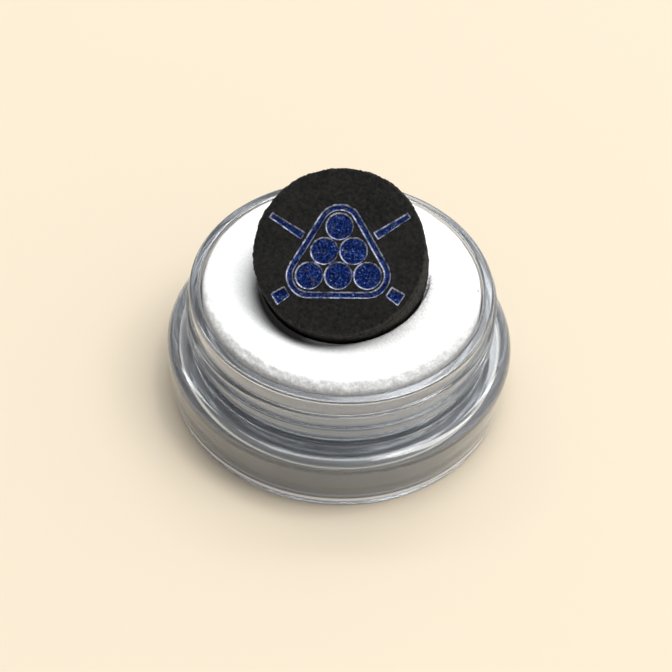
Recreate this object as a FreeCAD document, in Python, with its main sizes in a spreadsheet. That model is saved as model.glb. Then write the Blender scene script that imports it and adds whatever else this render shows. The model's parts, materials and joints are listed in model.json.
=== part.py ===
import FreeCAD, Part
import os
import re
from math import cos, radians, sin, sqrt

import Sketcher
from FreeCAD import Placement, Rotation, Vector

# A laminated leather cue tip, pushed at a slant into a foam pad that sits in a clear screw-neck jar.
# Millimetres. The origin is the centre of the jar's foot, +Z is up, and the tip's face leans to -Y.

SIZES = {
    # jar: one clear moulding, a bowl hung inside a hollow skirt, with a threaded neck
    "rim_height": 10.85,
    "rim_rounding": 0.25,
    "neck_radius": 12.45,
    "neck_foot_radius": 12.25,
    "bead_radius": 12.75,
    "bead_bottom": 7.05,
    "bead_width": 0.95,
    "bead_rounding": 0.18,
    "thread_depth": 0.3,
    "thread_root": 0.7,
    "thread_crest": 0.3,
    "thread_start": 8.45,
    "thread_pitch": 1.6,
    "thread_turns": 1.05,
    "thread_angle": 99,
    "shoulder_radius": 14.5,
    "shoulder_height": 5.45,
    "shoulder_plate": 0.9,
    "shoulder_rounding": 1.0,
    "skirt_wall": 1.05,
    "skirt_rounding": 0.4,
    "foot_radius": 14.1,
    "foot_width": 1.1,
    "foot_rounding": 0.3,
    "bowl_radius": 11.5,
    "bowl_floor": 3.0,
    "bowl_base": 1.0,
    "bowl_corner": 3.4,
    "heel_radius": 12.0,
    "heel_rounding": 2.2,
    # foam pad, with the socket that the tip presses into it
    "pad_radius": 11.35,
    "pad_bottom": 5.5,
    "pad_top": 11.55,
    "pad_rounding": 0.6,
    "socket_gap": 0.12,
    # tip: glued leather plies, placed by the centre of its stamped face
    "tip_radius": 6.9,
    "ply_thickness": 0.75,
    "ply_edge": 0.06,
    "face_across": -0.41,
    "face_forward": -1.52,
    "face_height": 16.42,
    "tip_tilt": 30.8,
    "tip_lean": -5.9,
    "tip_spin": 1.3,
    # foil stamp: a rack of balls in its frame, with two cues crossed behind it
    "stamp_depth": 0.12,
    "foil_thickness": 0.05,
    "stamp_drop": 0.65,
    "ball_radius": 1.08,
    "ball_pitch": 2.3,
    "frame_inner": 1.33,
    "frame_outer": 1.78,
    "cue_angle": 33,
    "cue_neck_start": 3.45,
    "cue_neck_half": 0.3,
    "cue_tip_end": 6.5,
    "cue_tip_half": 0.2,
    "cue_butt_start": 4.78,
    "cue_butt_half": 0.42,
    "cue_heel_end": 5.95,
    "cue_heel_half": 0.5,
}
PLY_COUNT = 8
RACK_ROWS = 3
CUE_ENDS = 4
FOIL_ISLANDS = RACK_ROWS * (RACK_ROWS + 1) // 2 + 1 + CUE_ENDS
SOCKET_REACH = 30.0
TOUCH = 1e-4

doc = FreeCAD.newDocument("cue_tip_jar")


# ---------------------------------------------------------------- helpers

def make_sheet():
    """Put every driving dimension in a named cell."""
    cells = doc.addObject("Spreadsheet::Sheet", "Sizes")
    for row, (name, value) in enumerate(SIZES.items(), start=1):
        cells.set(f"A{row}", name)
        cells.set(f"B{row}", str(value))
        cells.setAlias(f"B{row}", name)
    doc.recompute()
    return cells


sheet = make_sheet()


def cell(name):
    return float(sheet.get(name))


def formula(text):
    """Make every cell name in the text read that cell. Cell names are the words with an underscore."""
    return re.sub(r"\b[a-z]+(_[a-z]+)+\b", lambda word: "Sizes." + word.group(), text)


def make_body(name):
    body = doc.addObject("PartDesign::Body", name)
    body.Label = name
    return body


def make_sketch(body, name, role, offset=Placement()):
    plane = next(item for item in body.Origin.OriginFeatures if item.Role == role)
    sketch = body.newObject("Sketcher::SketchObject", name)
    sketch.AttachmentSupport = (plane, "")
    sketch.MapMode = "FlatFace"
    sketch.AttachmentOffset = offset
    return sketch


def bind(sketch, text, *constraint, start=1.0):
    """Add a constraint whose value follows a formula of the cells, from a starting value."""
    index = sketch.addConstraint(Sketcher.Constraint(*constraint, start))
    sketch.setExpression(f"Constraints[{index}]", formula(text))


def pin(sketch, item, point, across, up, start=Vector(1, 1, 0)):
    """Hold one point of a sketch at two formulas, measured from the sketch's origin."""
    bind(sketch, across, "DistanceX", -1, 1, item, point, start=start.x)
    bind(sketch, up, "DistanceY", -1, 1, item, point, start=start.y)


def draw_polygon(sketch, corners):
    """Draw a closed polygon. Its corners are pairs of formulas, which pull it off a starting circle."""
    count = len(corners)
    turns = [radians(360 * number / count) for number in range(count)]
    ring = [Vector(cos(turn), sin(turn), 0) for turn in turns]
    first = sketch.GeometryCount
    for number in range(count):
        sketch.addGeometry(Part.LineSegment(ring[number], ring[(number + 1) % count]))
    for number, corner in enumerate(corners):
        following = first + (number + 1) % count
        sketch.addConstraint(Sketcher.Constraint("Coincident", first + number, 2, following, 1))
        pin(sketch, first + number, 1, *corner)


def ring_edges(shape, radius, height):
    """Name the full-circle edges of one radius at one height."""
    names = []
    for number, edge in enumerate(shape.Edges, start=1):
        curve = edge.Curve
        if not isinstance(curve, Part.Circle):
            continue
        if abs(curve.Radius - radius) < TOUCH and abs(curve.Center.z - height) < TOUCH:
            names.append(f"Edge{number}")
    return names


def dress(body, kind, name, size, places):
    """Fillet or chamfer the body's circular edges at the given radii and heights."""
    doc.recompute()
    base = body.Tip
    edges = [edge for place in places for edge in ring_edges(base.Shape, *place)]
    if len(edges) != len(places):
        raise ValueError(f"{name}: {len(places)} edges wanted, {len(edges)} found")
    feature = body.newObject(f"PartDesign::{kind}", name)
    feature.Base = (base, edges)
    feature.setExpression("Radius" if kind == "Fillet" else "Size", formula(size))


def pad(body, sketch, name, length):
    feature = body.newObject("PartDesign::Pad", name)
    feature.Profile = sketch
    feature.setExpression("Length", formula(length))


def pocket(body, sketch, name, length, along_normal):
    """Cut a sketch out of its body, along the sketch's normal or against it."""
    doc.recompute()
    before = body.Shape.Volume
    feature = body.newObject("PartDesign::Pocket", name)
    feature.Profile = sketch
    feature.Reversed = along_normal
    feature.setExpression("Length", formula(length))
    doc.recompute()
    if body.Shape.Volume > before - TOUCH:
        raise ValueError(f"{name} cuts nothing")


# ---------------------------------------------------------------- jar

def make_jar():
    """Revolve the jar's section, round its corners and wind the thread round its neck."""
    body = make_body("jar_body")
    section = make_sketch(body, "jar_section", "XZ_Plane")
    draw_polygon(section, [
        ("0", "bowl_floor - bowl_base"),
        ("heel_radius", "bowl_floor - bowl_base"),
        ("heel_radius", "shoulder_height - shoulder_plate"),
        ("shoulder_radius - skirt_wall", "shoulder_height - shoulder_plate"),
        ("foot_radius - foot_width", "0"),
        ("foot_radius", "0"),
        ("shoulder_radius", "shoulder_height"),
        ("neck_foot_radius", "shoulder_height"),
        ("neck_foot_radius", "bead_bottom"),
        ("bead_radius", "bead_bottom"),
        ("bead_radius", "bead_bottom + bead_width"),
        ("neck_radius", "bead_bottom + bead_width"),
        ("neck_radius", "rim_height"),
        ("bowl_radius", "rim_height"),
        ("bowl_radius", "bowl_floor"),
        ("0", "bowl_floor"),
    ])
    turned = body.newObject("PartDesign::Revolution", "jar_turned")
    turned.Profile = section
    turned.ReferenceAxis = (section, ["V_Axis"])
    turned.Angle = 360
    round_jar(body)
    wind_thread(body)
    return body


def round_jar(body):
    floor = cell("bowl_floor")
    shoulder = cell("shoulder_height")
    rim = cell("rim_height")
    foot = cell("foot_radius")
    bead = cell("bead_radius")
    bead_bottom = cell("bead_bottom")
    ceiling = shoulder - cell("shoulder_plate")
    dress(body, "Fillet", "bowl_corners", "bowl_corner", [(cell("bowl_radius"), floor)])
    dress(body, "Fillet", "heel_corners", "heel_rounding", [(cell("heel_radius"), floor - cell("bowl_base"))])
    dress(body, "Fillet", "skirt_corners", "skirt_rounding",
          [(cell("shoulder_radius") - cell("skirt_wall"), ceiling)])
    dress(body, "Fillet", "shoulder_corners", "shoulder_rounding", [(cell("shoulder_radius"), shoulder)])
    dress(body, "Fillet", "foot_corners", "foot_rounding", [(foot, 0), (foot - cell("foot_width"), 0)])
    dress(body, "Fillet", "rim_corners", "rim_rounding",
          [(cell("neck_radius"), rim), (cell("bowl_radius"), rim)])
    dress(body, "Fillet", "bead_corners", "bead_rounding",
          [(bead, bead_bottom), (bead, bead_bottom + cell("bead_width"))])


def wind_thread(body):
    """Wind a trapezium, its root inside the neck's wall, up the neck."""
    start = Placement(Vector(), Rotation(Vector(0, 1, 0), cell("thread_angle")))
    tooth = make_sketch(body, "thread_section", "XZ_Plane", start)
    draw_polygon(tooth, [
        ("neck_radius - thread_depth", "thread_start - thread_root / 2"),
        ("neck_radius", "thread_start - thread_root / 2"),
        ("neck_radius + thread_depth", "thread_start - thread_crest / 2"),
        ("neck_radius + thread_depth", "thread_start + thread_crest / 2"),
        ("neck_radius", "thread_start + thread_root / 2"),
        ("neck_radius - thread_depth", "thread_start + thread_root / 2"),
    ])
    doc.recompute()
    helix = body.newObject("PartDesign::AdditiveHelix", "thread")
    helix.Profile = tooth
    helix.ReferenceAxis = (tooth, ["V_Axis"])
    helix.Mode = "pitch-turns-angle"
    helix.setExpression("Pitch", formula("thread_pitch"))
    helix.setExpression("Turns", formula("thread_turns"))


# ---------------------------------------------------------------- tip

def face_placement():
    """Place the tip's own frame: +Z out of the stamped face, +X to the right across it."""
    lean_forward = Rotation(Vector(1, 0, 0), cell("tip_tilt"))
    lean_sideways = Rotation(Vector(0, 1, 0), cell("tip_lean"))
    spin = Rotation(Vector(0, 0, 1), cell("tip_spin"))
    centre = Vector(cell("face_across"), cell("face_forward"), cell("face_height"))
    return Placement(centre, lean_forward * lean_sideways * spin)


def below_face(depth):
    """The tip's frame, moved straight into the tip by a depth."""
    return face_placement() * Placement(Vector(0, 0, -depth), Rotation())


def make_ply(number):
    """Make one leather disc. Ply 1 is the back one, and the last has the stamped face."""
    body = make_body(f"leather_ply_{number}")
    disc = make_sketch(body, f"ply_disc_{number}", "XY_Plane")
    draw_circle(disc, "0", "0", "tip_radius")
    pad(body, disc, f"ply_{number}", "ply_thickness")
    rims = [(cell("tip_radius"), 0), (cell("tip_radius"), cell("ply_thickness"))]
    dress(body, "Chamfer", f"ply_edges_{number}", "ply_edge", rims)
    if number == PLY_COUNT:
        surface = Placement(Vector(0, 0, cell("ply_thickness")), Rotation())
        stamp = make_sketch(body, "stamp_outline", "XY_Plane", surface)
        draw_stamp(stamp)
        pocket(body, stamp, "stamp_hollow", "stamp_depth", along_normal=False)
    plies_above = PLY_COUNT - number + 1
    body.Placement = below_face(plies_above * cell("ply_thickness"))
    return body


def make_foil():
    """Make the foil film that lines the floor of the stamped hollow."""
    body = make_body("foil_stamp")
    outline = make_sketch(body, "foil_outline", "XY_Plane")
    draw_stamp(outline)
    pad(body, outline, "foil_film", "foil_thickness")
    doc.recompute()
    if len(body.Shape.Solids) != FOIL_ISLANDS:
        raise ValueError(f"foil_stamp: {FOIL_ISLANDS} islands wanted, {len(body.Shape.Solids)} found")
    body.Placement = below_face(cell("stamp_depth"))
    return body


# ---------------------------------------------------------------- stamp

def draw_circle(sketch, across, up, radius):
    item = sketch.addGeometry(Part.Circle(Vector(), Vector(0, 0, 1), 1))
    pin(sketch, item, 3, across, up)
    bind(sketch, radius, "Radius", item)


def rack_spot(row, place):
    """Where a ball of the rack lies, in ball pitches from the middle of the triangle."""
    up = sqrt(3) / 2 * (2 / 3 * (RACK_ROWS - 1) - row)
    return place - row / 2, up


def spot_formulas(spot):
    return f"ball_pitch * ({spot[0]:.6f})", f"ball_pitch * ({spot[1]:.6f}) - stamp_drop"


def draw_rounded_triangle(sketch, radius):
    """Draw the triangle round the corner balls, as three tangent arcs and three lines.

    The tangents are set while every piece is where it belongs, so that none settles on an arc's far side.
    """
    last = RACK_ROWS - 1
    corners = [rack_spot(last, 0), rack_spot(last, last), rack_spot(0, 0)]
    size = cell(radius)
    centres = [Vector(cell("ball_pitch") * spot[0], cell("ball_pitch") * spot[1] - cell("stamp_drop"), 0)
               for spot in corners]
    first = sketch.GeometryCount
    for number, centre in enumerate(centres):
        begin = radians(150 + 120 * number)
        end = begin + radians(120)
        side = size * Vector(cos(end), sin(end), 0)
        sketch.addGeometry(Part.ArcOfCircle(Part.Circle(centre, Vector(0, 0, 1), size), begin, end))
        sketch.addGeometry(Part.LineSegment(centre + side, centres[(number + 1) % 3] + side))
    for number in range(len(corners)):
        arc = first + 2 * number
        next_arc = first + (2 * number + 2) % 6
        sketch.addConstraint(Sketcher.Constraint("Tangent", arc, 2, arc + 1, 1))
        sketch.addConstraint(Sketcher.Constraint("Tangent", arc + 1, 2, next_arc, 1))
    for number, (spot, centre) in enumerate(zip(corners, centres)):
        arc = first + 2 * number
        pin(sketch, arc, 3, *spot_formulas(spot), start=centre)
        bind(sketch, radius, "Radius", arc, start=size)


def draw_cue(sketch, side, near, near_half, far, far_half):
    """Draw one visible length of a cue that crosses the rack's middle, tapering from near to far."""
    outline = [(near, near_half, -1), (far, far_half, -1), (far, far_half, 1), (near, near_half, 1)]
    corners = []
    for along, half, edge in outline:
        across = f"({side}) * (({along}) * cos(cue_angle) - ({edge}) * {half} * sin(cue_angle))"
        up = f"({along}) * sin(cue_angle) + ({edge}) * {half} * cos(cue_angle) - stamp_drop"
        corners.append((across, up))
    draw_polygon(sketch, corners)


def draw_stamp(sketch):
    """Draw the whole stamp: the balls, both edges of their frame, and the cues' four visible ends."""
    for row in range(RACK_ROWS):
        for place in range(row + 1):
            draw_circle(sketch, *spot_formulas(rack_spot(row, place)), "ball_radius")
    draw_rounded_triangle(sketch, "frame_inner")
    draw_rounded_triangle(sketch, "frame_outer")
    for side in (1, -1):
        draw_cue(sketch, side, "cue_neck_start", "cue_neck_half", "cue_tip_end", "cue_tip_half")
        draw_cue(sketch, side, "-cue_butt_start", "cue_butt_half", "-cue_heel_end", "cue_heel_half")


# ---------------------------------------------------------------- foam pad

def make_pad():
    """Make the round pad, and cut the tip's slanted socket out of it with a little room all round."""
    body = make_body("foam_pad")
    underside = Placement(Vector(0, 0, cell("pad_bottom")), Rotation())
    disc = make_sketch(body, "pad_disc", "XY_Plane", underside)
    draw_circle(disc, "0", "0", "pad_radius")
    pad(body, disc, "pad_block", "pad_top - pad_bottom")
    dress(body, "Fillet", "pad_corners", "pad_rounding", [(cell("pad_radius"), cell("pad_top"))])
    tip_length = PLY_COUNT * cell("ply_thickness")
    socket = make_sketch(body, "socket_floor", "XY_Plane", below_face(tip_length + cell("socket_gap")))
    draw_circle(socket, "0", "0", "tip_radius + socket_gap")
    pocket(body, socket, "tip_socket", str(SOCKET_REACH), along_normal=True)
    return body


# ---------------------------------------------------------------- build, check and write

def check(bodies):
    """Stop if any object failed to recompute or any sub-part isn't a valid solid."""
    for item in doc.Objects:
        if "Invalid" in item.State or "Error" in item.State:
            raise ValueError(f"{item.Name} did not recompute: {item.State}")
    for body in bodies:
        if body.Shape.isNull() or not body.Shape.isValid() or not body.Shape.Solids:
            raise ValueError(f"{body.Label} has no valid solid")


def main():
    bodies = [make_jar(), make_pad()]
    bodies += [make_ply(number) for number in range(1, PLY_COUNT + 1)]
    bodies.append(make_foil())
    doc.recompute()
    check(bodies)
    os.makedirs("parts", exist_ok=True)
    for body in bodies:
        body.Shape.exportStep(f"parts/{body.Label}.step")
        print(f"{body.Label}: {body.Shape.Volume:.2f} mm3, {len(body.Shape.Solids)} solid(s)")


main()
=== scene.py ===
"""The looks of a laminated leather cue tip on a foam pad in a clear screw-neck jar.

Metres, in the part's own frame: +Z up, the jar's foot centred on the origin, the tip's face leaning to -Y.
Sizes below are in millimetres, as on a drawing, and MM turns them into metres.
"""

import json
from math import acos, asin, atan2, cos, pi, radians, sin, sqrt, tan

import bpy
import numpy as np
from mathutils import Matrix, Vector


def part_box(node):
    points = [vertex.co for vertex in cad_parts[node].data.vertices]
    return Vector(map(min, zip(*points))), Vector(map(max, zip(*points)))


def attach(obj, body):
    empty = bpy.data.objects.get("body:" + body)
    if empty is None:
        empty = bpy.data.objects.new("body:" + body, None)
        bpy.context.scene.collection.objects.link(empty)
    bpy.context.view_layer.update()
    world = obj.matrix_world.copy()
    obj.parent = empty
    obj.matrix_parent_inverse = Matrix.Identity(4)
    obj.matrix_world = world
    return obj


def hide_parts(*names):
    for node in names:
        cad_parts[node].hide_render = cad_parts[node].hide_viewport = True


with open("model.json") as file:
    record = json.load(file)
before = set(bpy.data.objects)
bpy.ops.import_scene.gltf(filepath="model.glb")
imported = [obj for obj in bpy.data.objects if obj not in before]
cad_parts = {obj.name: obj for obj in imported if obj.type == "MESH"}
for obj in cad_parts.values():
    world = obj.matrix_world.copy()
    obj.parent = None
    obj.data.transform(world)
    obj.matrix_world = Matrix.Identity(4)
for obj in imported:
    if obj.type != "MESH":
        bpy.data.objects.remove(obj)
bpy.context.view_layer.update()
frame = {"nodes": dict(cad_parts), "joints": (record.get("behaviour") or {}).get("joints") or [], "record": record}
MM = 0.001

# ---------------------------------------------------------------- sizes

RECORD = frame["record"]
PAD_LOW, PAD_HIGH = (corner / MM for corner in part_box("foam_pad"))
JAR_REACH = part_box("jar_body")[1].x / MM
RIM_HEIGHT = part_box("jar_body")[1].z / MM
PLY_COUNT = sum(name.startswith("leather_ply_") for name in frame["nodes"])

FOOT_RADIUS = 14.1
FOOT_WIDTH = 1.1
FOOT_ROUNDING = 0.3
SHOULDER_RADIUS = 14.5
SHOULDER_HEIGHT = 5.45
SHOULDER_ROUNDING = 1.0
SHOULDER_UNDERSIDE = 4.55
SKIRT_INNER_RADIUS = 13.45
SKIRT_ROUNDING = 0.4
NECK_RADIUS = 12.45
NECK_FOOT_RADIUS = 12.25
BEAD_RADIUS = 12.75
BEAD_BOTTOM = 7.05
BEAD_TOP = 8.0
BEAD_ROUNDING = 0.18
RIM_ROUNDING = 0.25
BOWL_RADIUS = 11.5
BOWL_FLOOR = 3.0
BOWL_CORNER = 3.4
HEEL_RADIUS = 12.0
HEEL_HEIGHT = 2.0
HEEL_ROUNDING = 2.2
THREAD_DEPTH = 0.3
THREAD_ROOT = 0.7
THREAD_CREST = 0.3
THREAD_START = 8.45
THREAD_PITCH = 1.6
THREAD_TURNS = 1.05
THREAD_ANGLE = radians(99.0)

PLY_THICKNESS = 0.75
TIP_LENGTH = PLY_COUNT * PLY_THICKNESS
TIP_RADIUS = 6.9
TIP_SPIN = radians(1.3)
SOCKET_GAP = 0.12

STAMP_DEPTH = 0.12
STAMP_DROP = 0.65
BALL_RADIUS = 1.08
BALL_PITCH = 2.3
FRAME_INNER = 1.33
FRAME_OUTER = 1.78
CUE_ANGLE = radians(33.0)
CUE_ENDS = [(3.45, 0.3, 6.5, 0.2), (-4.78, 0.42, -5.95, 0.5)]
STAMP_WALL = 0.13


def tip_frame():
    """The tip's own frame in millimetres: origin at the centre of the stamped face, +Z out of it."""
    axis = Vector(next(joint["axis"] for joint in frame["joints"] if joint["name"] == "tip_pull"))
    back = Vector(next(mount["pos_m"] for mount in RECORD["mounts"] if mount["name"] == "tip_back")) / MM
    lean = asin(axis.x)
    tilt = atan2(-axis.y, axis.z)
    turn = Matrix.Rotation(tilt, 4, "X") @ Matrix.Rotation(lean, 4, "Y") @ Matrix.Rotation(TIP_SPIN, 4, "Z")
    return Matrix.Translation(back + axis * TIP_LENGTH) @ turn


TIP_FRAME = tip_frame()

# ---------------------------------------------------------------- mesh helpers


def add_mesh(name, points, faces, material, smooth=True):
    """Make a mesh object from points in millimetres."""
    mesh = bpy.data.meshes.new(name)
    mesh.from_pydata((np.asarray(points, float) * MM).tolist(), [], faces)
    mesh.validate()
    mesh.update()
    mesh.polygons.foreach_set("use_smooth", [smooth] * len(mesh.polygons))
    piece = bpy.data.objects.new(name, mesh)
    bpy.context.scene.collection.objects.link(piece)
    mesh.materials.append(material)
    return piece


def add_layer(piece, name, values):
    """Store a value from 0 to 1 at each point of a piece, for its material."""
    layer = piece.data.attributes.new(name, "FLOAT", "POINT")
    layer.data.foreach_set("value", np.clip(values, 0.0, 1.0))


def grid_faces(rows, columns, wrap, first=0):
    """Quads of a grid of points, row by row. With wrap the last column joins the first."""
    row = np.arange(rows - 1)[:, None]
    column = np.arange(columns if wrap else columns - 1)[None, :]
    following = (column + 1) % columns
    low = row * columns
    high = low + columns
    quads = np.stack([low + column, low + following, high + following, high + column], -1)
    return (quads.reshape(-1, 4) + first).tolist()


def place(points, placement):
    """Carry points, in millimetres, by a placement matrix."""
    turn = np.array(placement.to_3x3())
    return np.asarray(points) @ turn.T + np.array(placement.translation)


def smooth_step(value):
    value = np.clip(value, 0.0, 1.0)
    return value * value * (3.0 - 2.0 * value)


def grain(points, size, seed):
    """Smooth noise from -1 to 1 at points in millimetres, with bumps of about the given size."""
    table = np.random.default_rng(seed).uniform(-1.0, 1.0, (64, 64, 64))
    scaled = np.asarray(points, float) / size + 1000.0
    base = np.floor(scaled).astype(int)
    part = scaled - base
    part = part * part * (3.0 - 2.0 * part)
    total = np.zeros(len(scaled))
    for corner in np.ndindex(2, 2, 2):
        index = (base + corner) % 64
        weight = np.prod(np.where(corner, part, 1.0 - part), axis=1)
        total += weight * table[index[:, 0], index[:, 1], index[:, 2]]
    return total


# how close to each end of a long straight stretch the path has a point, to keep its shading flat
HOLD = 0.04


def rounded_path(corners, step):
    """Sample an open path of (radius, height, rounding) corners, with arcs at the rounded ones."""
    points = [np.array(corners[0][:2], float)]
    for before, corner, after in zip(corners, corners[1:], corners[2:]):
        spot = np.array(corner[:2], float)
        back = np.array(before[:2], float) - spot
        ahead = np.array(after[:2], float) - spot
        back /= np.linalg.norm(back)
        ahead /= np.linalg.norm(ahead)
        half = acos(np.clip(back @ ahead, -1.0, 1.0)) / 2.0
        radius = corner[2]
        reach = radius / tan(half)
        middle = spot + (back + ahead) / np.linalg.norm(back + ahead) * radius / sin(half)
        start = spot + back * reach
        sweep = pi - 2.0 * half
        count = max(4, int(radius * sweep / (step * 0.35)))
        first = start - middle
        side = np.array([-first[1], first[0]])
        if side @ back > 0.0:
            side = -side
        points += straight(points[-1], start, step)
        for number in range(1, count + 1):
            turn = sweep * number / count
            points.append(middle + first * cos(turn) + side * sin(turn))
    points += straight(points[-1], np.array(corners[-1][:2], float), step)
    return np.array(points)


def straight(start, end, step):
    """Points after start up to end, at most a step apart, with one close to each end of a long stretch."""
    length = np.linalg.norm(end - start)
    count = max(1, int(np.ceil(length / step)))
    shares = [number / count for number in range(1, count + 1)]
    if length > 4.0 * HOLD:
        inner = [share for share in shares if HOLD * 1.5 < share * length < length - HOLD * 1.5]
        shares = [HOLD / length, *inner, 1.0 - HOLD / length, 1.0]
    return [start + (end - start) * share for share in shares]


def lathe(path, columns, shape=None):
    """Turn a path of (radius, height), which starts and ends on the axis, into points and faces."""
    turns = np.linspace(0.0, 2.0 * pi, columns, endpoint=False)
    rings = path[1:-1]
    rows = len(rings)
    points = np.stack([np.outer(rings[:, 0], np.cos(turns)), np.outer(rings[:, 0], np.sin(turns)),
                       np.repeat(rings[:, 1:], columns, 1)], -1).reshape(-1, 3)
    ends = [[0.0, 0.0, path[0, 1]], [0.0, 0.0, path[-1, 1]]]
    points = np.vstack([ends[:1], points, ends[1:]])
    if shape is not None:
        points = shape(points)
    faces = grid_faces(rows, columns, True, first=1)
    last = 1 + (rows - 1) * columns
    top = len(points) - 1
    for column in range(columns):
        following = (column + 1) % columns
        faces.append([0, 1 + following, 1 + column])
        faces.append([last + column, last + following, top])
    return points, faces


def finer(path, low, high, radius, step):
    """Divide the part of a path that runs up a wall of this radius between two heights."""
    points = [path[0]]
    for start, end in zip(path, path[1:]):
        inside = min(start[0], end[0]) > radius - 0.01 and max(start[0], end[0]) < radius + 0.01
        inside = inside and max(start[1], end[1]) > low and min(start[1], end[1]) < high
        points += straight(start, end, step) if inside else [end]
    return np.array(points)


# ---------------------------------------------------------------- materials


def new_material(name):
    material = bpy.data.materials.new(name)
    material.use_nodes = True
    return material, material.node_tree, material.node_tree.nodes["Principled BSDF"]


def add_node(tree, kind, inputs=None, **settings):
    """Add a node. An input is a value, or the socket it is linked from."""
    node = tree.nodes.new(kind)
    for name, value in settings.items():
        setattr(node, name, value)
    for name, value in (inputs or {}).items():
        if isinstance(value, bpy.types.NodeSocket):
            tree.links.new(value, node.inputs[name])
        else:
            node.inputs[name].default_value = value
    return node


def noise(tree, place, per_mm, detail=2.0, roughness=0.5):
    """Noise with about this many waves a millimetre."""
    return add_node(tree, "ShaderNodeTexNoise", {"Vector": place, "Scale": per_mm / MM, "Detail": detail,
                                                 "Roughness": roughness}).outputs["Fac"]


def ramp(tree, value, stops):
    """Map a value to colours, or greys, at these stops."""
    node = add_node(tree, "ShaderNodeValToRGB", {"Fac": value})
    band = node.color_ramp
    while len(band.elements) < len(stops):
        band.elements.new(0.5)
    for element, (position, colour) in zip(band.elements, stops):
        element.position = position
        element.color = (*([colour] * 3 if isinstance(colour, float) else colour), 1.0)
    return node.outputs["Color"]


def mix(tree, share, first, second):
    node = add_node(tree, "ShaderNodeMix", {"Factor": share}, data_type="RGBA")
    for name, value in (("A", first), ("B", second)):
        socket = next(item for item in node.inputs if item.name == name and item.type == "RGBA")
        if isinstance(value, bpy.types.NodeSocket):
            tree.links.new(value, socket)
        else:
            socket.default_value = (*value, 1.0)
    return next(item for item in node.outputs if item.type == "RGBA")


def maths(tree, kind, first, second=0.0):
    node = add_node(tree, "ShaderNodeMath", {0: first, 1: second}, operation=kind)
    return node.outputs[0]


def bump(tree, shader, height, distance, strength=1.0):
    """Link a height, whose full range is this many millimetres deep, to the shader's normal."""
    node = add_node(tree, "ShaderNodeBump",
                    {"Height": height, "Strength": strength, "Distance": distance * MM})
    tree.links.new(node.outputs["Normal"], shader.inputs["Normal"])


def object_place(tree):
    return add_node(tree, "ShaderNodeTexCoord").outputs["Object"]


# the skirt's tints are darker and bluer than the neck's: painted shade for the shadowed floor seen through the
# skirt
SKIRT_SHADED_DARK = (0.50, 0.58, 0.71)
SKIRT_SHADED_LIGHT = (0.56, 0.64, 0.77)
NECK_DARK = (0.71, 0.755, 0.82)
NECK_LIGHT = (0.81, 0.845, 0.90)


def clear_plastic():
    """Clear moulded polystyrene: greyish, glossy, finely marked round and round, with painted shade in the skirt's
    darker tint and a painted highlight as a whitish frosted band round its foot.
    """
    material, tree, shader = new_material("clear_plastic")
    place = object_place(tree)
    shader.inputs["IOR"].default_value = 1.56
    part = add_node(tree, "ShaderNodeSeparateXYZ", {"Vector": place})
    flat = add_node(tree, "ShaderNodeCombineXYZ", {"X": part.outputs["X"], "Y": part.outputs["Y"]})
    length = add_node(tree, "ShaderNodeVectorMath", {0: flat.outputs["Vector"]}, operation="LENGTH")
    height = maths(tree, "MULTIPLY", part.outputs["Z"], 1.0 / (RIM_HEIGHT * MM))
    drift = maths(tree, "MULTIPLY", noise(tree, place, 0.12, 2.0), 0.5 * MM)
    rings = add_node(tree, "ShaderNodeCombineXYZ",
                     {"X": length.outputs["Value"], "Y": part.outputs["Z"], "Z": drift})
    fine_rings = noise(tree, rings.outputs["Vector"], 3.0, 3.0, 0.6)
    skirt = mix(tree, noise(tree, place, 0.15, 3.0), SKIRT_SHADED_DARK, SKIRT_SHADED_LIGHT)
    neck = mix(tree, fine_rings, NECK_DARK, NECK_LIGHT)
    # below this height the jar takes the darker skirt tint, which is painted shade, and above it the lighter neck
    # tint
    raised = ramp(tree, height, [(0.40, 0.0), (0.46, 1.0)])
    # painted highlight: a whitish, frosted band just above the foot, standing in for the bright line of light
    # along the foot's edge
    foot_highlight_band = ramp(tree, height, [(0.052, 0.0), (0.060, 1.0), (0.088, 1.0), (0.096, 0.0)])
    body = mix(tree, foot_highlight_band, mix(tree, raised, skirt, neck), (0.93, 0.93, 0.93))
    tree.links.new(body, shader.inputs["Base Color"])
    marks = ramp(tree, fine_rings, [(0.35, 0.0), (0.75, 1.0)])
    haze = maths(tree, "MULTIPLY", raised, maths(tree, "MULTIPLY", marks, 0.10))
    # the foot's painted highlight band is also made frosted, letting little light through
    haze = maths(tree, "MAXIMUM", haze, maths(tree, "MULTIPLY", foot_highlight_band, 0.8))
    tree.links.new(maths(tree, "SUBTRACT", 0.99, haze), shader.inputs["Transmission Weight"])
    rough = maths(tree, "MULTIPLY_ADD", marks, 0.08)
    rough.node.inputs[2].default_value = 0.08
    tree.links.new(rough, shader.inputs["Roughness"])
    bump(tree, shader, fine_rings, 0.0008)
    shader.inputs["Coat Weight"].default_value = 1.0
    shader.inputs["Coat Roughness"].default_value = 0.05
    return material


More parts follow.
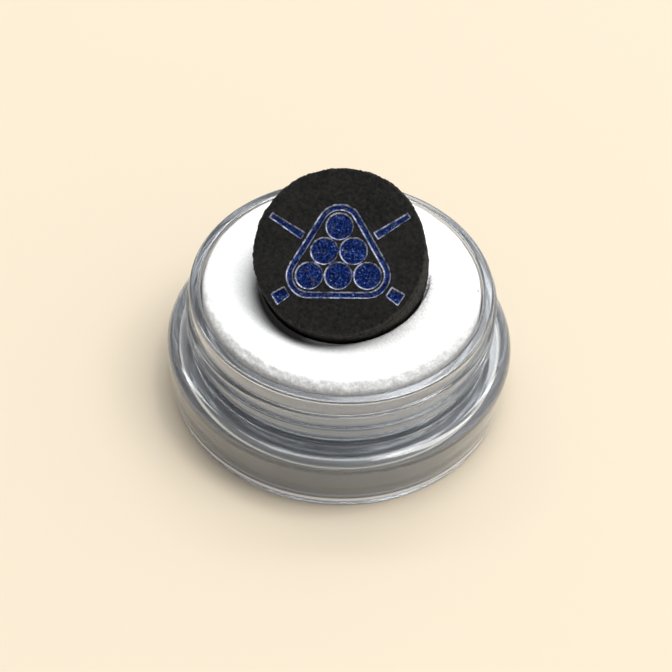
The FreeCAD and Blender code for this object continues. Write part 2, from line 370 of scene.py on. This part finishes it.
def white_foam():
    """White foam: matt fine cells, grey on its front edge as painted shade, darkened beside the tip by a painted
    shadow, dark specks where the tip meets it and leather dust, a few stray specks.
    """
    material, tree, shader = new_material("white_foam")
    place = object_place(tree)
    cells = add_node(tree, "ShaderNodeTexVoronoi", {"Vector": place, "Scale": 4.5 / MM}).outputs["Distance"]
    fine = noise(tree, place, 3.0, 3.0, 0.7)
    body = ramp(tree, cells, [(0.0, (0.82, 0.82, 0.83)), (0.35, (0.93, 0.93, 0.935)),
                              (0.8, (0.96, 0.96, 0.96))])
    dust_and_shadow_black = (0.03, 0.028, 0.026)
    dust_and_contact_dark = add_node(tree, "ShaderNodeAttribute", attribute_name="dust_and_contact_dark").outputs["Fac"]
    specks = ramp(tree, noise(tree, place, 5.0, 3.0, 0.8), [(0.40, 0.08), (0.60, 1.0)])
    dust = maths(tree, "MULTIPLY", dust_and_contact_dark, specks)
    # painted shadow: a soft dark patch beside the tip, mixed to black like the dust
    painted_shadow = add_node(tree, "ShaderNodeAttribute", attribute_name="painted_shadow").outputs["Fac"]
    body = mix(tree, maths(tree, "MAXIMUM", dust, painted_shadow), body, dust_and_shadow_black)
    # painted shade: grey speckled over the pad's rounded edge and upper side, strongest at the front
    painted_edge_shade = add_node(tree, "ShaderNodeAttribute", attribute_name="painted_edge_shade").outputs["Fac"]
    edge_shade_speckle = ramp(tree, noise(tree, place, 2.6, 4.0, 0.75), [(0.36, 0.45), (0.60, 0.80)])
    body = mix(tree, maths(tree, "MULTIPLY", painted_edge_shade, edge_shade_speckle), body, (0.42, 0.42, 0.42))
    spots = add_node(tree, "ShaderNodeTexVoronoi", {"Vector": place, "Scale": 0.42 / MM})
    chosen = ramp(tree, spots.outputs["Color"], [(0.62, 0.0), (0.63, 1.0)])
    near = ramp(tree, spots.outputs["Distance"], [(0.03, 1.0), (0.045, 0.0)])
    body = mix(tree, maths(tree, "MULTIPLY", chosen, near), body, dust_and_shadow_black)
    tree.links.new(body, shader.inputs["Base Color"])
    shader.inputs["Roughness"].default_value = 0.95
    shader.inputs["Specular IOR Level"].default_value = 0.2
    shader.inputs["Subsurface Weight"].default_value = 0.15
    shader.inputs["Subsurface Radius"].default_value = (0.6, 0.6, 0.6)
    shader.inputs["Subsurface Scale"].default_value = MM
    bump(tree, shader, maths(tree, "ADD", cells, maths(tree, "MULTIPLY", fine, 0.5)), 0.05, 0.7)
    return material


def black_leather(ply):
    """Black pressed leather: matt and finely pitted, with brownish fibres, each ply a shade of its own."""
    material, tree, shader = new_material(f"black_leather_{ply}")
    place = object_place(tree)
    shade = 0.85 + 0.3 * ((ply * 5) % PLY_COUNT) / PLY_COUNT
    fine = noise(tree, place, 3.2, 4.0, 0.75)
    broad = noise(tree, place, 0.35, 3.0)
    dark = tuple(shade * part for part in (0.0032, 0.0032, 0.003))
    light = tuple(shade * part for part in (0.0145, 0.014, 0.013))
    body = ramp(tree, fine, [(0.36, dark), (0.66, light)])
    brown = ramp(tree, noise(tree, place, 1.3, 3.0, 0.6), [(0.58, 0.0), (0.78, 0.5)])
    body = mix(tree, brown, body, (0.019, 0.0155, 0.010))
    worn = ramp(tree, broad, [(0.45, 0.0), (0.8, 0.35)])
    body = mix(tree, worn, body, (0.017, 0.0165, 0.016))
    wall = add_node(tree, "ShaderNodeAttribute", attribute_name="wall").outputs["Fac"]
    turned = ramp(tree, fine, [(0.34, (0.010, 0.009, 0.008)), (0.66, (0.060, 0.054, 0.046))])
    body = mix(tree, wall, body, turned)
    tree.links.new(body, shader.inputs["Base Color"])
    tree.links.new(ramp(tree, fine, [(0.3, 0.92), (0.7, 0.68)]), shader.inputs["Roughness"])
    shader.inputs["Specular IOR Level"].default_value = 0.15
    pits = add_node(tree, "ShaderNodeTexVoronoi", {"Vector": place, "Scale": 6.0 / MM}).outputs["Distance"]
    bump(tree, shader, maths(tree, "ADD", fine, maths(tree, "MULTIPLY", pits, 0.6)), 0.05, 0.8)
    return material


def blue_foil():
    """Blue metal foil pressed into leather: navy to royal blue with painted glints, crackled, worn, and with a
    painted highlight along its edges.
    """
    material, tree, shader = new_material("blue_foil")
    place = object_place(tree)
    speckle = noise(tree, place, 5.0, 4.0, 0.8)
    # the last, pale stop is painted glints scattered over the foil
    body = ramp(tree, speckle, [(0.40, (0.0012, 0.003, 0.014)), (0.52, (0.005, 0.014, 0.075)),
                                (0.61, (0.012, 0.036, 0.19)), (0.70, (0.30, 0.36, 0.55))])
    # painted highlight: the foil's metal turns near white along the stamp's pressed edges, broken up by noise
    edge = add_node(tree, "ShaderNodeAttribute", attribute_name="edge").outputs["Fac"]
    edge_highlight_breakup = ramp(tree, noise(tree, place, 1.6, 3.0, 0.7), [(0.40, 0.15), (0.58, 1.0)])
    body = mix(tree, maths(tree, "MULTIPLY", edge, edge_highlight_breakup), body, (0.88, 0.91, 0.98))
    worn = ramp(tree, noise(tree, place, 2.4, 4.0, 0.75), [(0.56, 0.0), (0.64, 1.0)])
    worn = maths(tree, "MULTIPLY", worn, maths(tree, "SUBTRACT", 1.0, edge))
    tree.links.new(mix(tree, worn, body, (0.005, 0.006, 0.014)), shader.inputs["Base Color"])
    tree.links.new(maths(tree, "SUBTRACT", 1.0, worn), shader.inputs["Metallic"])
    tree.links.new(ramp(tree, speckle, [(0.3, 0.5), (0.7, 0.24)]), shader.inputs["Roughness"])
    crackle = noise(tree, place, 5.5, 4.0, 0.8)
    bump(tree, shader, crackle, 0.05, 0.9)
    return material


# ---------------------------------------------------------------- jar


def thread_rise(points):
    """How far the thread stands out of the neck at each point."""
    turn = (np.arctan2(points[:, 1], points[:, 0]) - THREAD_ANGLE) % (2.0 * pi)
    rise = np.zeros(len(points))
    for lap in range(2):
        wound = turn / (2.0 * pi) + lap
        taper = smooth_step(np.minimum(wound, THREAD_TURNS - wound) / 0.02)
        above = np.abs(points[:, 2] - THREAD_START - wound * THREAD_PITCH)
        flank = (THREAD_ROOT / 2.0 - above) / ((THREAD_ROOT - THREAD_CREST) / 2.0)
        rise = np.maximum(rise, THREAD_DEPTH * smooth_step(flank) * taper)
    return rise


def shape_jar(points):
    """Wind the thread round the neck and let the walls wander by a hair, as moulded ones do."""
    radius = np.hypot(points[:, 0], points[:, 1])
    height = points[:, 2]
    on_neck = (np.abs(radius - NECK_RADIUS) < 0.02) & (height > BEAD_TOP + 0.05) & (height < RIM_HEIGHT)
    wander = 0.006 * grain(points, 4.5, 11)
    outward = np.where(on_neck, thread_rise(points), 0.0) + wander * smooth_step(radius / 6.0)
    outward = np.minimum(outward, JAR_REACH - radius)
    scale = 1.0 + outward / np.maximum(radius, 1.0)
    return points * np.stack([scale, scale, np.ones_like(scale)], -1)


def make_jar():
    path = rounded_path([
        (0.0, HEEL_HEIGHT),
        (HEEL_RADIUS, HEEL_HEIGHT, HEEL_ROUNDING),
        (HEEL_RADIUS, SHOULDER_UNDERSIDE, 0.2),
        (SKIRT_INNER_RADIUS, SHOULDER_UNDERSIDE, SKIRT_ROUNDING),
        (FOOT_RADIUS - FOOT_WIDTH, 0.0, FOOT_ROUNDING),
        (FOOT_RADIUS, 0.0, FOOT_ROUNDING),
        (SHOULDER_RADIUS, SHOULDER_HEIGHT, SHOULDER_ROUNDING),
        (NECK_FOOT_RADIUS, SHOULDER_HEIGHT, 0.25),
        (NECK_FOOT_RADIUS, BEAD_BOTTOM, 0.1),
        (BEAD_RADIUS, BEAD_BOTTOM, BEAD_ROUNDING),
        (BEAD_RADIUS, BEAD_TOP, BEAD_ROUNDING),
        (NECK_RADIUS, BEAD_TOP, 0.12),
        (NECK_RADIUS, RIM_HEIGHT, RIM_ROUNDING),
        (BOWL_RADIUS, RIM_HEIGHT, RIM_ROUNDING),
        (BOWL_RADIUS, BOWL_FLOOR, BOWL_CORNER),
        (0.0, BOWL_FLOOR)], 0.8)
    path = finer(path, BEAD_TOP + 0.12, RIM_HEIGHT - 0.3, NECK_RADIUS, 0.06)
    points, faces = lathe(path, 288, shape_jar)
    jar = add_mesh("jar_clear", points, faces, clear_plastic())
    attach(jar, "jar")
    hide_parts("jar_body")
    return jar


# ---------------------------------------------------------------- foam pad

# where the tip drags the foam down and where the painted shadow beside it lies, and where its dust lies: the angle
# round the tip's axis, in radians
DRAG_AND_SHADOW_MIDDLE = radians(-138.0)
DRAG_AND_SHADOW_SPREAD = radians(30.0)
DRAG_REACH = 0.8
DRAG_DEPTH = 1.1
PAINTED_SHADOW_REACH = 0.75
DUST_MIDDLE = radians(-32.0)
DUST_SPREAD = radians(24.0)
# how far above the tip's face the socket's cutter reaches
CUTTER_TOP = 12.0
# the least gap between the foam and the tip, and how far out the foam may reach in its bowl
TIP_CLEARANCE = 0.04
FOAM_REACH = 11.44


def applied(piece):
    """The mesh of a piece with its modifiers applied."""
    graph = bpy.context.evaluated_depsgraph_get()
    return bpy.data.meshes.new_from_object(piece.evaluated_get(graph))


def in_tip_frame(points):
    return place(points, TIP_FRAME.inverted())


def foam_block():
    """The points and faces of the pad, with the tip's socket cut out of it, on an even fine mesh."""
    path = rounded_path([(0.0, PAD_LOW.z), (PAD_HIGH.x, PAD_LOW.z, 0.3), (PAD_HIGH.x, PAD_HIGH.z, 1.0),
                         (0.0, PAD_HIGH.z)], 1.2)
    block = add_mesh("foam_block", *lathe(path, 120), None)
    room = TIP_RADIUS + SOCKET_GAP
    depth = TIP_LENGTH + SOCKET_GAP
    bore = np.array([[0.0, -depth], [room, -depth], [room, CUTTER_TOP], [0.0, CUTTER_TOP]])
    cutter = add_mesh("foam_cutter", *lathe(bore, 180, lambda points: place(points, TIP_FRAME)), None)
    cut = block.modifiers.new("cut", "BOOLEAN")
    cut.object = cutter
    cut.solver = "EXACT"
    remesh = block.modifiers.new("remesh", "REMESH")
    remesh.mode = "VOXEL"
    remesh.voxel_size = 0.15 * MM
    smooth = block.modifiers.new("smooth", "SMOOTH")
    smooth.iterations = 5
    mesh = applied(block)
    points = np.empty(len(mesh.vertices) * 3)
    mesh.vertices.foreach_get("co", points)
    normals = np.empty(len(mesh.vertices) * 3)
    mesh.vertex_normals.foreach_get("vector", normals)
    faces = [list(face.vertices) for face in mesh.polygons]
    for piece in (block, cutter):
        bpy.data.objects.remove(piece)
    return points.reshape(-1, 3) / MM, normals.reshape(-1, 3), faces


def make_foam():
    """The pad: frayed along its edge, dragged down beside the tip, and dusted with leather, with a painted shadow
    beside the tip and painted shade on its front edge.
    """
    points, normals, faces = foam_block()
    local = in_tip_frame(points)
    away = np.hypot(local[:, 0], local[:, 1]) - TIP_RADIUS
    round_tip = np.arctan2(local[:, 1], local[:, 0])
    top = smooth_step((points[:, 2] - PAD_HIGH.z + 0.7) / 0.5)
    rim = smooth_step((np.hypot(points[:, 0], points[:, 1]) - PAD_HIGH.x + 1.5) / 0.9)
    push = 0.016 * grain(points, 0.28, 21) + 0.03 * grain(points, 1.6, 22)
    push += rim * top * (0.11 * grain(points, 0.4, 23) + 0.07 * grain(points, 0.9, 25) - 0.10)
    points = points + normals * push[:, None]
    beside = np.exp(-np.clip(away, 0.0, None) / DRAG_REACH) * top * (away > -0.2)
    dragged_and_shadowed = np.exp(-((round_tip - DRAG_AND_SHADOW_MIDDLE + pi) % (2.0 * pi) - pi) ** 2 / (2.0 * DRAG_AND_SHADOW_SPREAD ** 2))
    points[:, 2] -= beside * (0.06 + DRAG_DEPTH * dragged_and_shadowed)
    # nothing may stand in the tip's way as it slides out
    local = in_tip_frame(points)
    radial = np.hypot(local[:, 0], local[:, 1])
    floor = -TIP_LENGTH - 0.05
    blocked = (radial < TIP_RADIUS + TIP_CLEARANCE) & (local[:, 2] > floor)
    to_side = local[:, 2] - floor > TIP_RADIUS - radial
    grow = np.where(blocked & to_side, (TIP_RADIUS + TIP_CLEARANCE) / np.maximum(radial, 1e-6), 1.0)
    local[:, 0] *= grow
    local[:, 1] *= grow
    local[:, 2] = np.where(blocked & ~to_side, floor, local[:, 2])
    points = place(local, TIP_FRAME)
    reach = np.hypot(points[:, 0], points[:, 1])
    points[:, :2] *= np.minimum(1.0, FOAM_REACH / np.maximum(reach, 1e-6))[:, None]
    points[:, 2] = np.clip(points[:, 2], PAD_LOW.z - 0.1, PAD_HIGH.z + 0.08)
    foam = add_mesh("foam_insert", points, faces, white_foam())
    gap = np.clip(away, 0.0, None)
    dusty = np.exp(-((round_tip - DUST_MIDDLE + pi) % (2.0 * pi) - pi) ** 2 / (2.0 * DUST_SPREAD ** 2))
    patchy = 0.75 + 0.45 * grain(points, 0.35, 24)
    # dark specks in a thin ring where the foam meets the tip, leather dust spread to the tip's right, and a flat
    # half share on the socket's floor under the tip
    dust_and_contact_dark = np.exp(-gap / 0.16) * 0.8 + 0.6 * dusty * np.exp(-gap / 0.75) * patchy
    touched = smooth_step((local[:, 2] + TIP_LENGTH + 0.45) / 0.3)
    dust_and_contact_dark = touched * np.where((local[:, 2] < -TIP_LENGTH + 0.3) & (away < 0.0), 0.5, dust_and_contact_dark)
    add_layer(foam, "dust_and_contact_dark", dust_and_contact_dark)
    # painted shade on the pad's edge: strongest on the front, which faces away from the lamps behind, and fading
    # down the side
    front = smooth_step(-points[:, 1] / np.maximum(reach, 1e-6) / 0.8)
    painted_edge_shade = smooth_step((reach - PAD_HIGH.x + 0.4 + 0.55 * front) / 0.45)
    painted_edge_shade *= smooth_step((points[:, 2] - PAD_HIGH.z + 3.6) / 2.8) * (0.4 + 0.6 * front)
    add_layer(foam, "painted_edge_shade", painted_edge_shade)
    # painted shadow: a soft dark patch on the foam beside the tip's lower left, where the tip's shadow falls
    painted_shadow = 0.97 * touched * np.minimum(1.3 * dragged_and_shadowed, 1.0) * np.exp(-(gap / PAINTED_SHADOW_REACH) ** 2)
    add_layer(foam, "painted_shadow", painted_shadow)
    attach(foam, "pad")
    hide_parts("foam_pad")
    return foam


# ---------------------------------------------------------------- stamp


def rack_spots():
    """The middles of the six racked balls, as rows of three, two and one."""
    rows = 3
    return np.array([(BALL_PITCH * (place_in_row - row / 2.0),
                      BALL_PITCH * sqrt(3.0) / 2.0 * (2.0 / 3.0 * (rows - 1) - row) - STAMP_DROP)
                     for row in range(rows) for place_in_row in range(row + 1)])


def polygon_distance(points, corners):
    """Signed distance from a convex polygon whose corners run anticlockwise, below zero inside."""
    corners = np.asarray(corners, float)
    nearest = np.full(len(points), 1e9)
    inside = np.ones(len(points), bool)
    for start, end in zip(corners, np.roll(corners, -1, 0)):
        side = end - start
        offset = points - start
        along = np.clip(offset @ side / (side @ side), 0.0, 1.0)
        nearest = np.minimum(nearest, np.linalg.norm(offset - along[:, None] * side, axis=1))
        inside &= side[0] * offset[:, 1] - side[1] * offset[:, 0] > 0.0
    return np.where(inside, -nearest, nearest)


def cue_outlines():
    """The corners of the four cue ends that show beyond the rack, anticlockwise."""
    outlines = []
    for side in (1, -1):
        for near, near_half, far, far_half in CUE_ENDS:
            corners = []
            for along, half, edge in ((near, near_half, -1), (far, far_half, -1), (far, far_half, 1),
                                      (near, near_half, 1)):
                corners.append((side * (along * cos(CUE_ANGLE) - edge * half * sin(CUE_ANGLE)),
                                along * sin(CUE_ANGLE) + edge * half * cos(CUE_ANGLE) - STAMP_DROP))
            corners = np.array(corners)
            ahead = np.roll(corners, -1, 0)
            area = np.sum(corners[:, 0] * ahead[:, 1] - corners[:, 1] * ahead[:, 0])
            outlines.append(corners if area > 0 else corners[::-1])
    return outlines


def stamp_distance(points):
    """Signed distance, in millimetres, from the stamp's outline on the face, below zero inside it."""
    spots = rack_spots()
    distance = np.min(np.linalg.norm(points[:, None] - spots[None], axis=2), axis=1) - BALL_RADIUS
    round_rack = polygon_distance(points, spots[[3, 5, 0]])
    frame_line = np.abs(round_rack - (FRAME_INNER + FRAME_OUTER) / 2.0) - (FRAME_OUTER - FRAME_INNER) / 2.0
    distance = np.minimum(distance, frame_line)
    for outline in cue_outlines():
        distance = np.minimum(distance, polygon_distance(points, outline))
    return distance


def face_height(points):
    """How far the pressed leather face stands above or below its plane at points (across, up) on it."""
    distance = stamp_distance(points)
    ragged = 0.03 * grain(np.column_stack([points, np.zeros(len(points))]), 0.16, 31)
    pressed = smooth_step(0.5 - (distance + ragged) / STAMP_WALL)
    flat = np.column_stack([points, np.zeros(len(points))])
    skin = 0.016 * grain(flat, 0.17, 32) + 0.02 * grain(flat, 0.42, 33) + 0.03 * grain(flat, 1.7, 34)
    swell = 0.025 * np.exp(-((distance - 0.16) / 0.12) ** 2)
    return skin * (1.0 - 0.55 * pressed) + swell - STAMP_DEPTH * pressed - 0.05


# ---------------------------------------------------------------- tip


def make_ply(number):
    """One pressed leather disc, with a frayed edge. The last carries the stamped face."""
    top = -(PLY_COUNT - number) * PLY_THICKNESS
    bottom = top - PLY_THICKNESS
    stamped = number == PLY_COUNT
    columns = 640 if stamped else 360
    corner = 0.11 if stamped else 0.07
    path = rounded_path([(0.0, bottom), (TIP_RADIUS, bottom, 0.07), (TIP_RADIUS, top, corner), (0.0, top)],
                        0.055 if stamped else 0.09)
    if stamped:
        flat_below = (path[:, 1] < bottom + 1e-6) & (path[:, 0] < TIP_RADIUS - 0.4)
        keep = ~flat_below
        keep[0] = True
        path = path[keep]
    else:
        flat = ((path[:, 1] < bottom + 1e-6) | (path[:, 1] > top - 1e-6)) & (path[:, 0] < TIP_RADIUS - 0.4)
        flat[[0, -1]] = False
        path = path[~flat]

    def shape(points):
        radius = np.hypot(points[:, 0], points[:, 1])
        edge = smooth_step((radius - TIP_RADIUS + 0.5) / 0.4)
        fray = 0.05 * grain(points * [1, 1, 1.6], 0.3, 40 + number) + 0.035 * grain(points, 0.14, 60 + number)
        fray += 0.06 * grain(points * [1, 1, 0.3], 1.3, 80 + number) - 0.09
        chips = np.clip(grain(points, 0.35, 100 + number) - 0.55, 0.0, 1.0) * 0.5
        fray -= chips * smooth_step((points[:, 2] - top + 0.25) / 0.2)
        scale = 1.0 + edge * fray / np.maximum(radius, 1.0)
        points = points * np.stack([scale, scale, np.ones_like(scale)], -1)
        if stamped:
            on_face = smooth_step((points[:, 2] - top + 0.12) / 0.1)
            points[:, 2] += on_face * face_height(points[:, :2])
        return place(points, TIP_FRAME)

    points, faces = lathe(path, columns, shape)
    ply = add_mesh(f"ply_{number}", points, faces, black_leather(number))
    local = in_tip_frame(points)
    add_layer(ply, "wall", smooth_step((np.hypot(local[:, 0], local[:, 1]) - TIP_RADIUS + 0.26) / 0.12) * 0.5)
    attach(ply, "tip")
    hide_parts(f"leather_ply_{number}")
    return ply


def make_foil():
    """The foil: a thin film on the pressed leather and up the hollow's walls, cut to the stamp's outline."""
    step = 0.055
    across = np.arange(-6.6, 6.6, step)
    up = np.arange(-5.2, 4.6, step)
    points = np.stack(np.meshgrid(across, up), -1).reshape(-1, 2)

    def distance(spots):
        return stamp_distance(spots) - STAMP_WALL * 0.5

    gap = distance(points)
    near = np.abs(gap) < 0.62 * step
    tiny = 1e-4
    slope = np.stack([distance(points + [tiny, 0.0]) - gap, distance(points + [0.0, tiny]) - gap], -1) / tiny
    points = np.where(near[:, None], points - gap[:, None] * slope, points)
    inside = (gap < 0.0) | near
    cells = np.array(grid_faces(len(up), len(across), False))
    held = inside[cells]
    count = held.sum(1)
    faces = cells[count == 4].tolist()
    faces += [[corner for corner, keep in zip(cell, row) if keep]
              for cell, row in zip(cells[count == 3].tolist(), held[count == 3].tolist())]
    used = np.unique(np.concatenate([np.array(face) for face in faces]))
    number = np.full(len(points), -1)
    number[used] = np.arange(len(used))
    faces = [[int(number[corner]) for corner in face] for face in faces]
    points = points[used]
    leather = face_height(points)
    flat = np.column_stack([points, np.zeros(len(points))])
    crackle = 0.006 * grain(flat, 0.12, 35)
    upper = np.column_stack([points, leather + 0.014 + crackle])
    lower = np.column_stack([points, leather - 0.03])
    edges = {(a, b) for face in faces for a, b in zip(face, face[1:] + face[:1])}
    total = len(points)
    walls = [[a, a + total, b + total, b] for a, b in sorted(edges) if (b, a) not in edges]
    under = [[corner + total for corner in reversed(face)] for face in faces]
    spots = place(np.vstack([upper, lower]), TIP_FRAME)
    foil = add_mesh("stamp_foil", spots, faces + under + walls, blue_foil())
    # where along the stamp's edges the foil gets its painted highlight
    edge = smooth_step(1.0 - np.abs(distance(points) + STAMP_WALL * 0.5) / (STAMP_WALL * 0.5))
    add_layer(foil, "edge", np.concatenate([edge, edge]))
    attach(foil, "tip")
    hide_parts("foil_stamp")
    return foil


# ---------------------------------------------------------------- floor, light and camera

FLOOR_HALF = 900.0
FLOOR_HEIGHT = -0.02
ROOM_BRIGHT_SIDE = (0.8, 0.2, 0.565)
ROOM_DARK = 0.2
ROOM_LIGHT = 0.85
LAMP_DISTANCE = 0.9
# name, azimuth, elevation, spread, strength, colour
LAMPS = [
    ("key", 92.0, 65.0, (28.0, 28.0), 1.6, (1.0, 0.99, 0.97)),
    ("overhead", 180.0, 80.0, (30.0, 24.0), 0.84, (0.98, 0.99, 1.0)),
    ("back_strip", 184.0, 58.0, (60.0, 7.0), 0.77, (0.97, 0.985, 1.0)),
    ("window", 167.5, 50.0, (15.5, 9.0), 0.12, (0.97, 0.985, 1.0)),
]

# degrees, and millimetres: the field is how much the picture takes in across the object
CAMERA_DISTANCE = 150.0
CAMERA_ELEVATION = 48.35
CAMERA_ROLL = 3.0
CAMERA_FIELD = 56.0
CAMERA_SENSOR = 36.0
CAMERA_AIM_HEIGHT = 6.0
CAMERA_RIGHT = 0.325
CAMERA_UP = 0.875


def make_floor():
    material, tree, shader = new_material("floor_card")
    place = object_place(tree)
    mottle = noise(tree, place, 0.006, 3.0)
    tree.links.new(ramp(tree, mottle, [(0.3, (0.658, 0.573, 0.449)), (0.7, (0.668, 0.583, 0.459))]),
                   shader.inputs["Base Color"])
    shader.inputs["Roughness"].default_value = 0.9
    shader.inputs["Specular IOR Level"].default_value = 0.1
    corners = [(across * FLOOR_HALF, along * FLOOR_HALF, FLOOR_HEIGHT)
               for across, along in ((-1, -1), (1, -1), (1, 1), (-1, 1))]
    floor = add_mesh("floor", corners, [[0, 1, 2, 3]], material, False)


def add_light(name, azimuth, elevation, spread, strength, colour):
    """An area light far off, facing the object. Azimuth 0 is the camera's side and 90 is the right.

    Its spread is in degrees seen from the object. Its strength is the light on a surface facing it, in W/m2.
    """
    lamp = bpy.data.lights.new(name, "AREA")
    lamp.shape = "RECTANGLE"
    lamp.size, lamp.size_y = (2.0 * LAMP_DISTANCE * tan(radians(side / 2.0)) for side in spread)
    lamp.energy = strength * pi * LAMP_DISTANCE ** 2
    lamp.color = colour
    piece = bpy.data.objects.new(name, lamp)
    turn, height = radians(azimuth), radians(elevation)
    back = Vector((sin(turn) * cos(height), -cos(turn) * cos(height), sin(height)))
    piece.location = back * LAMP_DISTANCE
    piece.rotation_euler = back.to_track_quat("Z", "Y").to_euler()
    bpy.context.scene.collection.objects.link(piece)


def make_lights():
    """A pale room, brighter to the right and above, with soft lamps."""
    scene = bpy.context.scene
    world = bpy.data.worlds.new("studio")
    world.use_nodes = True
    tree = world.node_tree
    ahead = add_node(tree, "ShaderNodeTexCoord").outputs["Generated"]
    side = add_node(tree, "ShaderNodeVectorMath", {0: ahead, 1: ROOM_BRIGHT_SIDE}, operation="DOT_PRODUCT")
    share = maths(tree, "MULTIPLY_ADD", side.outputs["Value"], 0.5)
    share.node.inputs[2].default_value = 0.5
    background = tree.nodes["Background"]
    tree.links.new(ramp(tree, share, [(0.0, ROOM_DARK), (1.0, ROOM_LIGHT)]), background.inputs["Color"])
    background.inputs["Strength"].default_value = 1.0
    scene.world = world
    for lamp in LAMPS:
        add_light(*lamp)
    scene.view_settings.view_transform = "Standard"


def make_camera():
    """Look down at the jar from its front, with the camera a little rolled."""
    scene = bpy.context.scene
    lens = bpy.data.cameras.new("camera")
    lens.sensor_width = CAMERA_SENSOR
    lens.lens = CAMERA_DISTANCE / CAMERA_FIELD * CAMERA_SENSOR
    lens.clip_start = 0.01
    camera = bpy.data.objects.new("camera", lens)
    height = radians(CAMERA_ELEVATION)
    back = Vector((0.0, -cos(height), sin(height)))
    right = Vector((1.0, 0.0, 0.0))
    up = back.cross(right)
    roll = radians(CAMERA_ROLL)
    right, up = right * cos(roll) + up * sin(roll), up * cos(roll) - right * sin(roll)
    aim = Vector((0.0, 0.0, CAMERA_AIM_HEIGHT)) - right * CAMERA_RIGHT - up * CAMERA_UP
    centre = aim + back * CAMERA_DISTANCE
    camera.matrix_world = Matrix.Translation(centre * MM) @ Matrix((right, up, back)).transposed().to_4x4()
    scene.collection.objects.link(camera)
    scene.camera = camera


# ---------------------------------------------------------------- build

make_jar()
make_foam()
for ply_number in range(1, PLY_COUNT + 1):
    make_ply(ply_number)
make_foil()
make_floor()
make_lights()
make_camera()
